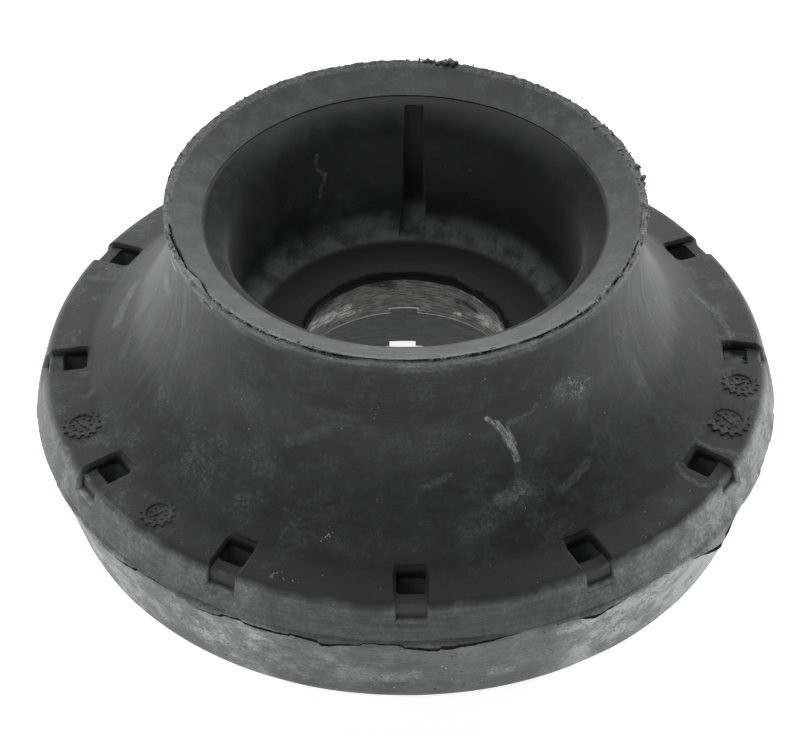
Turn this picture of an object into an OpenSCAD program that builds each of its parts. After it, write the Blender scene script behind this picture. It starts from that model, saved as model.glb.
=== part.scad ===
// Strut top mount: a moulded rubber body bonded to a pressed-steel bearing cup.
// The axis is Z. The origin is the centre of the flat base, and the bowl opens upwards.

/* [Flange] */
// Diameter at the mould parting line
flange_d = 118; // [112:0.5:126]
// Height of the parting line above the base
parting_z = 17.2; // [15.5:0.1:18.5]
// Inset of the base edge from the parting line
base_inset = 5.4; // [4:0.1:8]
// Radius of the rounded base edge
base_edge_r = 3; // [1:0.1:4]
// Inset of the top edge from the parting line
top_inset = 1.6; // [1:0.1:2.2]
// Height of the outer wall above the parting line
upper_wall_h = 6.5; // [5.8:0.1:7]
// Radius that rounds the top edge
top_edge_r = 1.4; // [0.6:0.1:1.8]

/* [Neck and rim] */
// Width of the flange's shelf, from the flare to the top edge
shelf_w = 6.7; // [6.4:0.1:7.8]
// Rise of the shelf from the top edge to the flare
shelf_rise = 1; // [0.6:0.1:2]
// Smallest diameter of the neck
neck_d = 74.4; // [72:0.2:76]
// Overall height
rim_z = 55; // [54:0.1:58]
// Drop from the rim to the smallest diameter
neck_drop = 5.5; // [4:0.1:9]
// Diameter of the step where the rim face meets the bowl
mouth_d = 63.4; // [61:0.2:65]
// Fall of the rim face from its outer edge to the bowl
rim_fall = 2.6; // [1.5:0.1:3.2]
// Depth of the fine moulding step at the mouth
mouth_step = 0.2; // [0.1:0.05:0.4]

/* [Bowl] */
// Radius of the bell mouth
mouth_r = 6.4; // [5:0.1:7]
// Draft angle of the bowl wall
bowl_draft = 3; // [1:0.5:5]
// Height of the bowl floor
floor_z = 28.4; // [28:0.1:30]
// Radius between the bowl wall and the floor
floor_fillet_r = 4.4; // [3:0.1:5]
// Diameter of the shallow ring around the bore lip
lip_ring_d = 36.8; // [35:0.2:40]
// Depth of the shallow ring around the bore lip
lip_ring_depth = 0.4; // [0.2:0.05:0.6]
// Diameter of the rubber bore lip
lip_d = 32.2; // [30:0.2:34]
// Thickness of the rubber bore lip
lip_t = 1.2; // [0.8:0.1:1.6]

/* [Bowl groove] */
// Width of the groove in the bowl wall
groove_w = 4.4; // [3:0.1:6]
// Width of the groove at its deepest line
groove_root_w = 3; // [2:0.1:3]
// Radial depth of the groove
groove_depth = 3.3; // [2:0.1:4]
// Height of the groove's foot above the bowl floor
groove_foot = 0.3; // [0.1:0.05:0.8]
// Drop from the rim to where the groove begins
groove_drop = 3.6; // [3.4:0.1:10]
// Share of the groove's depth that keeps the full width
groove_waist = 0.25; // [0.1:0.05:0.5]
// Direction of the groove from the front
groove_angle = 177.4; // [170:0.1:190]

/* [Flange slots] */
// Number of slots
slot_count = 12; // [6:1:14]
// Width of a slot
slot_w = 4.6; // [3:0.1:6]
// Turn of the slot pattern from the front
slot_turn = 0.9; // [-5:0.1:5]
// Radial length of the deep pocket
pocket_l = 4; // [3:0.1:4.2]
// Radial length of the ledge outside the pocket
ledge_l = 2.2; // [1.6:0.1:2.6]
// Depth of the ledge below the top edge
ledge_drop = 0.5; // [0.2:0.1:1]
// Depth of the outer notch below the top edge
notch_drop = 3.1; // [2:0.1:4]

/* [Bearing cup] */
// Sheet thickness
sheet_t = 2.4; // [1.6:0.1:2.6]
// Bore of the collar
collar_d = 36; // [35:0.2:37]
// Wall of the drawn collar
collar_t = 1.8; // [1.4:0.1:2.2]
// Radius of the collar's lower edge
collar_edge_r = 0.4; // [0.2:0.1:1]
// Height of the collar's lower edge, which is the roof of the bearing seat
roof_z = 18.2; // [17.8:0.1:18.6]
// Bore of the bearing seat
seat_d = 62.6; // [60:0.2:64]
// Turn of the seat's lead-in bend that the rubber leaves bare
bare_bend = 24; // [15:1:35]
// Height of the underside of the brim
brim_z = 11.6; // [10.5:0.1:12.2]
// Rubber cover outside the brim
brim_cover = 3.7; // [3.2:0.1:4.4]
// Inside radius of the bends
bend_r = 1.2; // [0.8:0.1:1.4]

/* [Key notches] */
// Width of the key notches
key_w = 4.4; // [3:0.1:5]
// Height of the notch in the collar's lower edge
collar_key_h = 1.1; // [0.6:0.1:1.6]
// Radial depth of the notch in the collar
collar_key_depth = 1.3; // [0.8:0.1:1.6]
// Height of the notch in the base edge of the bearing seat
base_key_h = 1; // [0.6:0.1:2]
// Radial depth of the notch in the base edge
base_key_depth = 2; // [1:0.1:3]

/* [Hidden] */
$fn = 96;

// Overlap that lets cutters run past a face
past = 1;
// Largest turn between two points of an arc
arc_step = 6;

flange_r = flange_d / 2;
base_r = flange_r - base_inset;
top_r = flange_r - top_inset;
top_z = parting_z + upper_wall_h;
foot_r = top_r - shelf_w;
foot_z = top_z + shelf_rise;
neck_r = neck_d / 2;
neck_z = rim_z - neck_drop;
groove_top_z = rim_z - groove_drop;
lip_r = lip_d / 2;
lip_ring_r = lip_ring_d / 2;
collar_r = collar_d / 2;
seat_r = seat_d / 2;
brim_r = flange_r - brim_cover;

// Flare arc: vertical at the neck, through the flare foot
flare_rise = neck_z - foot_z;
flare_half_turn = atan((foot_r - neck_r) / flare_rise);
flare_r = flare_rise / sin(2 * flare_half_turn);
flare_c = [neck_r + flare_r, neck_z];
rim_turn = asin((rim_z - neck_z) / flare_r);
rim_r = flare_c.x - flare_r * cos(rim_turn);

// Bell mouth, tangent to the rim face at the step and to the bowl wall below
mouth_p = [mouth_d / 2, rim_z - rim_fall];
rim_slope = atan(rim_fall / (rim_r - mouth_p.x));
bell_c = mouth_p - [0, mouth_step] + mouth_r * [sin(rim_slope), -cos(rim_slope)];
wall_top = bell_c + mouth_r * [-cos(bowl_draft), sin(bowl_draft)];

// Fillet between the bowl wall and the floor
wall_foot_z = floor_z + floor_fillet_r * (1 - sin(bowl_draft));
wall_foot_r = wall_top.x - (wall_top.y - wall_foot_z) * tan(bowl_draft);
floor_c = [wall_foot_r - floor_fillet_r * cos(bowl_draft), floor_z + floor_fillet_r];
lip_z = floor_z - lip_ring_depth;
lip_under_z = lip_z - lip_t;

// Sheet levels and corners of the bearing cup
shoulder_z = roof_z + sheet_t;
skirt_r = seat_r + sheet_t;
brim_top_z = brim_z + sheet_t;
outer_bend_r = bend_r + sheet_t;
collar_top = [collar_r + collar_t, lip_under_z];
collar_foot = [collar_r + collar_t, shoulder_z];
shoulder = [skirt_r, shoulder_z];
skirt_foot = [skirt_r, brim_top_z];
brim_top = [brim_r, brim_top_z];
brim_edge = [brim_r, brim_z];
seat_foot = [seat_r, brim_z];
roof = [seat_r, roof_z];
collar_edge = [collar_r, roof_z];
collar_inner = [collar_r, lip_under_z];

// Lead-in bend from the seat to the brim, and the rubber bore that starts on it
lead_in_c = seat_foot + [outer_bend_r, outer_bend_r];
rubber_bore_r = lead_in_c.x - outer_bend_r * cos(bare_bend);

// Radii of the steps along a slot
pocket_r = foot_r + pocket_l;
notch_r = pocket_r + ledge_l;

function unit(v) = v / norm(v);

// Signed turn between two directions, the short way round
function short_turn(from, to) = (to - from + 540) % 360 - 180;

// Points of an arc
function arc(centre, r, from, to) =
    let (steps = ceil(abs(to - from) / arc_step))
    [for (i = [0:steps]) let (a = from + (to - from) * i / steps) centre + r * [cos(a), sin(a)]];

// Points of an arc of radius r that rounds the corner b between a and c
function rounded(a, b, c, r) =
    let (
        u = unit(a - b),
        v = unit(c - b),
        centre = b + unit(u + v) * r / sin(acos(u * v) / 2),
        to_a = b + u * ((centre - b) * u) - centre,
        to_c = b + v * ((centre - b) * v) - centre,
        from = atan2(to_a.y, to_a.x)
    )
    arc(centre, r, from, from + short_turn(from, atan2(to_c.y, to_c.x)));

// Flared outside of the body, from the rim down to the base
function outside() =
    let (
        foot = [foot_r, foot_z],
        top_edge = [top_r, top_z],
        parting = [flange_r, parting_z],
        base_corner = [base_r, 0],
        base_inner = [rubber_bore_r, 0]
    )
    concat(
        arc(flare_c, flare_r, 180 - rim_turn, 180 + 2 * flare_half_turn),
        rounded(foot, top_edge, parting, top_edge_r),
        [parting],
        rounded(parting, base_corner, base_inner, base_edge_r),
        [base_inner]
    );

// Bowl from the bore lip up to the step of the mouth
function bowl() = concat(
    [[lip_r, lip_under_z], [lip_r, lip_z], [lip_ring_r, lip_z], [lip_ring_r, floor_z]],
    arc(floor_c, floor_fillet_r, 270, 360 - bowl_draft),
    arc(bell_c, mouth_r, 180 - bowl_draft, 90 + rim_slope),
    [mouth_p]
);

// Rubber-covered side of the cup, from the bare part of the lead-in to the top of the collar
function cup_outside() = concat(
    arc(lead_in_c, outer_bend_r, 180 + bare_bend, 270),
    [brim_edge, brim_top],
    rounded(brim_top, skirt_foot, shoulder, bend_r),
    rounded(skirt_foot, shoulder, collar_foot, outer_bend_r),
    rounded(shoulder, collar_foot, collar_top, bend_r),
    [collar_top]
);

// Bare side of the cup, from the collar down to the lead-in
function cup_inside() = concat(
    [collar_inner],
    rounded(collar_inner, collar_edge, roof, collar_edge_r),
    rounded(collar_edge, roof, seat_foot, bend_r),
    [for (p = arc(lead_in_c, outer_bend_r, 180, 180 + bare_bend)) if (p.x < rubber_bore_r) p]
);

// Half section of the groove, with the bowl's floor fillet set deeper
function groove_half() =
    let (
        start_z = floor_z + groove_foot,
        root_c = [floor_c.x + groove_depth, start_z + floor_fillet_r],
        root_r = root_c.x + floor_fillet_r
    )
    concat(
        [[lip_ring_r, start_z]],
        arc(root_c, floor_fillet_r, 270, 360),
        [[root_r, groove_top_z], [lip_ring_r, groove_top_z]]
    );

// Block that reaches outwards from radius r along X, above height z
module outward_block(r, z, width) {
    reach = flange_r + past - r;
    translate([r, -width / 2, z]) cube([reach, width, rim_z - z]);
}

// Turns children from +X to a direction counted from the front towards +X
module towards(angle) {
    rotate([0, 0, angle - 90]) children();
}

// One slot: deep pocket down to the brim, ledge, and notch through the outer edge
module slot() {
    ledge_z = top_z - ledge_drop;
    notch_z = top_z - notch_drop;
    translate([foot_r, -slot_w / 2, brim_top_z]) cube([pocket_l, slot_w, rim_z - brim_top_z]);
    outward_block(pocket_r, ledge_z, slot_w);
    outward_block(notch_r, notch_z, slot_w);
}

// Groove in the bowl wall, full width at the wall and narrower at its root
module groove() {
    root_r = floor_c.x + floor_fillet_r + groove_depth;
    waist_r = wall_top.x + groove_depth * groove_waist;
    half = groove_w / 2;
    root_half = groove_root_w / 2;
    one_side = [[0, half], [waist_r, half], [root_r, root_half]];
    other_side = [[root_r, -root_half], [waist_r, -half], [0, -half]];
    intersection() {
        rotate_extrude() polygon(groove_half());
        linear_extrude(rim_z) polygon(concat(one_side, other_side));
    }
}

// Notch for a locating key, cut outwards to radius r, up from below height z
module key_notch(r, z, height) {
    translate([0, -key_w / 2, z - past]) cube([r, key_w, height + past]);
}

module rubber_body() {
    color("#303232")
    difference() {
        rotate_extrude() polygon(concat(bowl(), outside(), cup_outside()));
        for (i = [0:slot_count - 1])
            towards(slot_turn + i * 360 / slot_count) slot();
        towards(groove_angle) groove();
        towards(180 + slot_turn) key_notch(rubber_bore_r + base_key_depth, 0, base_key_h);
    }
}

module bearing_cup() {
    color("#8a8c8c")
    difference() {
        rotate_extrude() polygon(concat(cup_outside(), cup_inside()));
        towards(180 + slot_turn) key_notch(collar_r + collar_key_depth, roof_z, collar_key_h);
    }
}

rubber_body();
bearing_cup();
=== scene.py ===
"""Strut top mount: a moulded rubber body on a pressed-steel bearing cup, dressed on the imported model.

Sizes are in millimetres until a mesh is made.
Angles are in degrees, counted from the front (-Y) towards +X.
"""

import math
import random

import bmesh
import bpy
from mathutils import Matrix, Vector, noise


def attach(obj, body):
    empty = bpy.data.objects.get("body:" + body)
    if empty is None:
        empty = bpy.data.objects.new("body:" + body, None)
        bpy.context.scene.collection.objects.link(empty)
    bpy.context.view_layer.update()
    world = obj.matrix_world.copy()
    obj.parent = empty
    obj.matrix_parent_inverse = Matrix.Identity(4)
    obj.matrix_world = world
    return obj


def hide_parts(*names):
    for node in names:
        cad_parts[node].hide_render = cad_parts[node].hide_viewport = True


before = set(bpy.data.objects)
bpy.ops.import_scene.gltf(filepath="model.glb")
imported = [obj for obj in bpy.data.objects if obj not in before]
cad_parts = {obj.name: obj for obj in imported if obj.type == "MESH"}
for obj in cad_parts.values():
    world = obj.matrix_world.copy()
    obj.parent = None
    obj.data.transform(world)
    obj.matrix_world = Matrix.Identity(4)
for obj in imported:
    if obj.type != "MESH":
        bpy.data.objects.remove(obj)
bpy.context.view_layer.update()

MM = 0.001

# Flange
FLANGE_R, PARTING_Z = 59.0, 17.2
BASE_R, BASE_EDGE_R = 53.6, 3.0
TOP_EDGE = (57.4, 23.7)
TOP_EDGE_R = 2.2
# Neck and rim
FOOT = (50.7, 24.7)
NECK_R, NECK_Z = 37.2, 49.5
RIM_Z, RIM_FALL = 55.0, 2.6
MOUTH_R, MOUTH_STEP = 31.7, 0.2
# Bowl
BELL_R, DRAFT = 6.4, 3.0
FLOOR_Z, FLOOR_FILLET_R = 28.4, 4.4
LIP_RING_R, LIP_RING_DEPTH = 18.4, 0.4
LIP_R, LIP_T = 16.1, 1.2
# Groove in the bowl wall
GROOVE_W, GROOVE_ROOT_W, GROOVE_DEPTH = 4.4, 3.0, 3.3
GROOVE_FOOT, GROOVE_TOP_Z, GROOVE_ANGLE = 0.3, 51.4, 177.4
# Slots
SLOTS, SLOT_W, SLOT_TURN = 12, 4.6, 0.9
POCKET_L, LEDGE_L = 4.0, 2.2
LEDGE_Z, NOTCH_Z = 23.2, 20.6
# Bearing cup, as far as the rubber follows it
BORE_R, BORE_TOP_Z = 31.61, 13.74
BRIM_R, BRIM_Z, BRIM_TOP_Z = 55.3, 11.6, 14.0
SKIRT_R, SHOULDER_Z, COLLAR_OUT_R = 33.7, 20.6, 19.8
LEAD_IN_R = 3.6
# Key notch in the base
KEY_W, KEY_H, KEY_DEPTH = 4.4, 1.0, 2.0

# Largest spacing of points in the section, on the rim's torn edge and out of sight
FINE, EDGE_STEP, COARSE = 1.2, 0.15, 5.0
# Steps round the body and round the torn edge
TURN_STEPS, EDGE_TURN_STEPS = 600, 2000
# Undercut below the parting line, and rounding of the slots
UNDERCUT, SLOT_CORNER_R, SLOT_EDGE_R = 0.5, 0.8, 0.75


def around(angle, r, z):
    a = math.radians(angle)
    return Vector((r * math.sin(a), -r * math.cos(a), z))


def arc(centre, r, start, end, step=FINE):
    n = max(3, math.ceil(abs(math.radians(end - start)) * r / step))
    turns = [math.radians(start + (end - start) * i / n) for i in range(n + 1)]
    return [(centre[0] + r * math.cos(t), centre[1] + r * math.sin(t)) for t in turns]


def rounded(a, b, c, r, step=FINE):
    """Points of an arc that rounds the corner b between a and c."""
    a, b, c = Vector(a), Vector(b), Vector(c)
    u, v = (a - b).normalized(), (c - b).normalized()
    centre = b + (u + v).normalized() * r / math.sin(u.angle(v) / 2)
    to_a = b + u * (centre - b).dot(u) - centre
    to_c = b + v * (centre - b).dot(v) - centre
    start = math.degrees(math.atan2(to_a.y, to_a.x))
    turn = math.degrees(math.atan2(to_c.y, to_c.x)) - start
    return arc(centre, r, start, start + (turn + 180) % 360 - 180, step)


def spaced(points, step):
    """The same line with points no further apart than step."""
    line = [points[0]]
    for p, q in zip(points, points[1:]):
        n = max(1, math.ceil(math.dist(p, q) / step))
        line += [(p[0] + (q[0] - p[0]) * i / n, p[1] + (q[1] - p[1]) * i / n) for i in range(1, n + 1)]
    return line


# Flare of the neck: an arc that is upright at the neck and passes through the flare's foot
half_turn = math.atan((FOOT[0] - NECK_R) / (NECK_Z - FOOT[1]))
FLARE_R = (NECK_Z - FOOT[1]) / math.sin(2 * half_turn)
FLARE_C = (NECK_R + FLARE_R, NECK_Z)
rim_turn = math.degrees(math.asin((RIM_Z - NECK_Z) / FLARE_R))
RIM_R = FLARE_C[0] - FLARE_R * math.cos(math.radians(rim_turn))
RIM_SLOPE = math.atan(RIM_FALL / (RIM_R - MOUTH_R))
FACE_W = (RIM_R - MOUTH_R) / math.cos(RIM_SLOPE)
# Reach of the torn edge along the rim's face and down the flank
EDGE_IN, EDGE_DOWN = 2.2, 3.2


def flank_r(z):
    """Radius of the flared outside at a height above the flange."""
    return FLARE_C[0] - math.sqrt(FLARE_R**2 - (NECK_Z - z) ** 2)


def wall_r(z):
    """Radius of the lower wall below the parting line."""
    return BASE_R + (FLANGE_R - BASE_R) * z / PARTING_Z


def top_z(r):
    """Height of the flange's upper side, or of the flare inside its foot."""
    if r < FOOT[0]:
        return NECK_Z - math.sqrt(FLARE_R**2 - (FLARE_C[0] - r) ** 2)
    return FOOT[1] + (TOP_EDGE[1] - FOOT[1]) * (r - FOOT[0]) / (TOP_EDGE[0] - FOOT[0])


def rim_point(along):
    """Point of the rim's edge; along counts from the edge, inwards on the rim face and down the flank."""
    if along < 0:
        return RIM_R + along * math.cos(RIM_SLOPE), RIM_Z + along * math.sin(RIM_SLOPE)
    return flank_r(RIM_Z - along), RIM_Z - along


def edge_line(spacing):
    """Places across the rim from the mouth over the face and the torn edge to the flank."""
    n, face = round((EDGE_IN + EDGE_DOWN) / spacing), 6
    return [-FACE_W + (FACE_W - EDGE_IN) * i / face for i in range(face)] + [
        -EDGE_IN + (EDGE_IN + EDGE_DOWN) * i / n for i in range(n + 1)
    ]


def rubber_section():
    """Closed section of the body: bore lip, bowl, rim, flank, flange, base, and the side on the cup."""
    mouth = (MOUTH_R, RIM_Z - RIM_FALL)
    slope, draft = RIM_SLOPE, math.radians(DRAFT)
    flared = (mouth[0] + BELL_R * math.sin(slope), mouth[1] - MOUTH_STEP - BELL_R * math.cos(slope))
    wall_top = (flared[0] - BELL_R * math.cos(draft), flared[1] + BELL_R * math.sin(draft))
    foot_z = FLOOR_Z + FLOOR_FILLET_R * (1 - math.sin(draft))
    foot_r = wall_top[0] - (wall_top[1] - foot_z) * math.tan(draft)
    fillet = (foot_r - FLOOR_FILLET_R * math.cos(draft), FLOOR_Z + FLOOR_FILLET_R)
    lip_z = FLOOR_Z - LIP_RING_DEPTH
    under = lip_z - LIP_T
    parting = (FLANGE_R, PARTING_Z)
    inset = (FLANGE_R - UNDERCUT, PARTING_Z - 0.2)
    edge = [rim_point(along) for along in edge_line(0.4)]
    flare_start = math.degrees(math.asin((RIM_Z - EDGE_DOWN - NECK_Z) / FLARE_R))
    seen = (
        [(LIP_R, under)]
        + rounded((LIP_R, under), (LIP_R, lip_z), (LIP_RING_R, FLOOR_Z), 0.3, 0.2)
        + [(LIP_RING_R - 0.3, FLOOR_Z - 0.08), (LIP_RING_R + 0.3, FLOOR_Z)]
        + arc(fillet, FLOOR_FILLET_R, 270, 360 - DRAFT)
        + arc(flared, BELL_R, 180 - DRAFT, 90 + math.degrees(slope))
        + edge
        + arc(FLARE_C, FLARE_R, 180 - flare_start, 180 + 2 * math.degrees(half_turn))[1:]
        + rounded(FOOT, TOP_EDGE, parting, TOP_EDGE_R, 0.4)
        + rounded(TOP_EDGE, parting, inset, 0.12, 0.1)
        + [inset, (wall_r(PARTING_Z - 1.6), PARTING_Z - 1.6)]
        + rounded(parting, (BASE_R, 0), (BORE_R, 0), BASE_EDGE_R, 0.6)
    )
    hidden = [
        seen[-1], (BORE_R, 0), (BORE_R, BORE_TOP_Z), (BORE_R + LEAD_IN_R, BRIM_Z), (BRIM_R, BRIM_Z),
        (BRIM_R, BRIM_TOP_Z), (SKIRT_R, BRIM_TOP_Z), (SKIRT_R, SHOULDER_Z), (COLLAR_OUT_R, SHOULDER_Z),
        (COLLAR_OUT_R, under), (LIP_R, under),
    ]
    return spaced(seen, FINE) + spaced(hidden, COARSE)[1:-1], fillet, wall_top


def mesh_object(name, verts, faces, smooth_angle=35):
    mesh = bpy.data.meshes.new(name)
    mesh.from_pydata([Vector(v) * MM for v in verts], [], faces)
    bm = bmesh.new()
    bm.from_mesh(mesh)
    bmesh.ops.recalc_face_normals(bm, faces=bm.faces)
    bm.to_mesh(mesh)
    bm.free()
    soften(mesh, smooth_angle)
    piece = bpy.data.objects.new(name, mesh)
    bpy.context.scene.collection.objects.link(piece)
    return piece


def soften(mesh, angle):
    mesh.shade_smooth()
    mesh.set_sharp_from_angle(angle=math.radians(angle))


def ring_faces(steps, count):
    """Quads of a closed section of count points, swept round in steps."""
    faces = []
    for i in range(steps):
        j = (i + 1) % steps
        for k in range(count):
            m = (k + 1) % count
            faces.append((i * count + k, i * count + m, j * count + m, j * count + k))
    return faces


def loft(*levels):
    """Vertices and faces of a solid through outlines with the same number of points."""
    n, last = len(levels[0]), (len(levels) - 1) * len(levels[0])
    sides = [
        (k + i, k + (i + 1) % n, k + n + (i + 1) % n, k + n + i) for k in range(0, last, n) for i in range(n)
    ]
    ends = [tuple(range(n))[::-1], tuple(range(last, last + n))]
    return [p for level in levels for p in level], ends + sides


def cutter(name, solids):
    verts, faces = [], []
    for v, f in solids:
        faces += [tuple(len(verts) + i for i in face) for face in f]
        verts += v
    return mesh_object(name, verts, faces)


def cut(piece, tool):
    """Takes the tool's solid out of the piece and removes the tool."""
    boolean = piece.modifiers.new("cut", "BOOLEAN")
    boolean.object, boolean.operation, boolean.solver = tool, "DIFFERENCE", "EXACT"
    graph = bpy.context.evaluated_depsgraph_get()
    mesh = bpy.data.meshes.new_from_object(piece.evaluated_get(graph))
    piece.modifiers.remove(boolean)
    old, piece.data = piece.data, mesh
    bpy.data.meshes.remove(old)
    bpy.data.objects.remove(tool)


def wobble(p, size, seed):
    """Smooth noise from -1 to 1 that changes over about size millimetres."""
    return noise.noise(Vector(p) / size + Vector((seed * 17.3, seed * 5.1, seed * 11.7)))


def step(low, high, value):
    """Smooth step from 0 to 1."""
    t = min(max((value - low) / (high - low), 0), 1)
    return t * t * (3 - 2 * t)


def bell(value, width):
    return math.exp(-((value / width) ** 2))


def unevenness(p):
    """How far the moulded surface stands out from its true shape."""
    return 0.12 * wobble(p, 22, 1) + 0.05 * wobble(p, 6, 2)


def sag(p):
    """Unevenness of the flange's upper side, upwards."""
    return 0.16 * wobble(p, 10, 3) + 0.04 * wobble(p, 3, 4)


def turn_between(a, b):
    """Smallest turn between two directions."""
    return abs((a - b + 180) % 360 - 180)


# Rubber body

# Ends of the slot cutters, outside and above the flange
OUTSIDE, ABOVE = 63.0, 27.0


def on_spoke(angle, r, y, z):
    """Point at radius r along a direction, y to its side."""
    a = math.radians(angle)
    return Vector((r * math.sin(a) + y * math.cos(a), -r * math.cos(a) + y * math.sin(a), z))


def slot_plan(back, front, half, corner):
    """Outline of a slot seen from above, with rounded corners."""
    corners = [(back, -half), (front, -half), (front, half), (back, half)]
    plan = []
    for i in range(4):
        plan += rounded(corners[i - 1], corners[i], corners[(i + 1) % 4], corner, corner / 3)
    return plan


def pocket_solid(angle):
    """Cutter of the deep pocket, slightly narrower at the bottom."""

    def outline(inset, z):
        plan = slot_plan(FOOT[0] + inset, FOOT[0] + POCKET_L - inset, SLOT_W / 2 - inset, SLOT_CORNER_R)
        return [on_spoke(angle, r, y, z) for r, y in plan]

    return loft(outline(0.25, BRIM_TOP_Z), outline(0, LEDGE_Z), outline(0, ABOVE))


def ledge_solid(angle):
    """Cutter of the ledge and of the notch through the outer edge."""
    start, stop = (FOOT[0] + POCKET_L / 2, LEDGE_Z), (OUTSIDE, NOTCH_Z)
    corner, foot = (FOOT[0] + POCKET_L + LEDGE_L, LEDGE_Z), (FOOT[0] + POCKET_L + LEDGE_L, NOTCH_Z)
    line = [start] + rounded(start, corner, foot, 0.5, 0.2) + rounded(corner, foot, stop, 0.35, 0.2)
    line += [stop, (OUTSIDE, ABOVE), (start[0], ABOVE)]
    return loft(*[[on_spoke(angle, r, side * (SLOT_W / 2 - 0.03), z) for r, z in line] for side in (-1, 1)])


def edge_rounding():
    """Widening and depth of the cutters that round a slot's edges, from inside to above the surface."""
    turns = [math.radians(t) for t in (20, 40, 62)]
    steps = [(SLOT_EDGE_R * (1 - math.cos(t)), SLOT_EDGE_R * (1 - math.sin(t))) for t in turns]
    (a, b), (c, d) = steps[-2:]
    return [(-0.1, 1.2 * SLOT_EDGE_R)] + steps + [(c + 2 * (c - a), d + 2 * (d - b))]


def top_rounding(angle):
    """Cutter that rounds the slot's edges on the flange's upper side."""
    slope = (TOP_EDGE[1] - FOOT[1]) / (TOP_EDGE[0] - FOOT[0])

    def outline(wider, depth):
        plan = slot_plan(FOOT[0] - wider, OUTSIDE, SLOT_W / 2 + wider, SLOT_CORNER_R + wider)
        return [on_spoke(angle, r, y, FOOT[1] + slope * (r - FOOT[0]) - depth) for r, y in plan]

    return loft(*[outline(*level) for level in edge_rounding()])


def wall_rounding(angle):
    """Cutter that rounds the notch's edges on the outer wall."""
    slope = (TOP_EDGE[0] - FLANGE_R) / (TOP_EDGE[1] - PARTING_Z)

    def outline(wider, depth):
        half, low = SLOT_W / 2 + wider, NOTCH_Z - wider
        plan = [(-half, low), (half, low), (half, ABOVE), (-half, ABOVE)]
        return [on_spoke(angle, FLANGE_R + slope * (z - PARTING_Z) - depth, y, z) for y, z in plan]

    return loft(*[outline(*level) for level in edge_rounding()])


def groove_solid(fillet, wall_top):
    """Cutter of the groove: the bowl's floor fillet set deeper, narrower at the root."""
    foot = FLOOR_Z + GROOVE_FOOT
    centre = (fillet[0] + GROOVE_DEPTH, foot + FLOOR_FILLET_R)
    root_r = centre[0] + FLOOR_FILLET_R
    waist_r = wall_top[0] + GROOVE_DEPTH / 4
    line = [(LIP_RING_R, foot)] + arc(centre, FLOOR_FILLET_R, 270, 360, 0.5)
    line += [(root_r, GROOVE_TOP_Z), (LIP_RING_R, GROOVE_TOP_Z)]

    def half_width(r):
        share = min(max((r - waist_r) / (root_r - waist_r), 0), 1)
        return (GROOVE_W + (GROOVE_ROOT_W - GROOVE_W) * share) / 2

    return loft(*[[on_spoke(GROOVE_ANGLE, r, side * half_width(r), z) for r, z in line] for side in (-1, 1)])


def key_solid():
    """Cutter of the notch in the base edge of the bearing seat."""
    half, end = KEY_W / 2, BORE_R + KEY_DEPTH
    plan = [(0, -half), (end, -half), (end, half), (0, half)]
    return loft(*[[on_spoke(180 + SLOT_TURN, r, y, z) for r, y in plan] for z in (-1, KEY_H)])


def rubber_body():
    section, fillet, wall_top = rubber_section()
    verts = []
    for i in range(TURN_STEPS):
        angle = 360 * i / TURN_STEPS
        for r, z in section:
            p = around(angle, r, z)
            push, lift = unevenness(p), 0
            if z < 0.3 or r < LIP_RING_R + 1:
                push = 0
            if r < LIP_R + 0.4 and z > FLOOR_Z - 2:
                push = 0.3 * wobble(p, 3.5, 5) + 0.12 * wobble(p, 1.1, 6)
            if z > 20 and r > FOOT[0] - 6:
                lift = sag(p) * step(FOOT[0] - 6, FOOT[0], r)
            # The rim's face and torn edge are a piece of their own, so the body stays below them
            outside, face = r > RIM_R - 1, z > RIM_Z - RIM_FALL - 0.05
            if r > MOUTH_R - 0.1 and z > RIM_Z - EDGE_DOWN and (outside or face):
                sunk = 0.5 * (1 - step(1.2, 2.6, RIM_Z - z if outside else 0))
                push, lift = push - 0.7 * sunk * step(-2, -0.5, r - RIM_R), -sunk
            verts.append(p + around(angle, push, lift))
    piece = mesh_object("rubber_body_visual", verts, ring_faces(TURN_STEPS, len(section)))
    turns = [SLOT_TURN + i * 360 / SLOTS for i in range(SLOTS)]
    for solid in (pocket_solid, ledge_solid, top_rounding, wall_rounding):
        cut(piece, cutter("slot_cutters", [solid(t) for t in turns]))
    cut(piece, cutter("bowl_cutters", [groove_solid(fillet, wall_top), key_solid()]))
    soften(piece.data, 33)
    return piece


# Direction of the lifted flap on the rim's edge, and least half width of the strip in the crack
FLAP_ANGLE, CRACK_HALF = -59, 0.012


def crack_place(angle):
    """Where the crack runs along the rim's edge: on its face at the sides, on the corner at the front."""
    p = around(angle, RIM_R, RIM_Z)
    front = step(0.3, 0.85, math.cos(math.radians(angle)))
    place = -1.1 + 1.25 * front - 0.9 * bell(turn_between(angle, FLAP_ANGLE), 5)
    return place + 0.3 * wobble(p, 6, 11) + 0.16 * wobble(p, 1.4, 12) + 0.06 * wobble(p, 0.5, 10)


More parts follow.
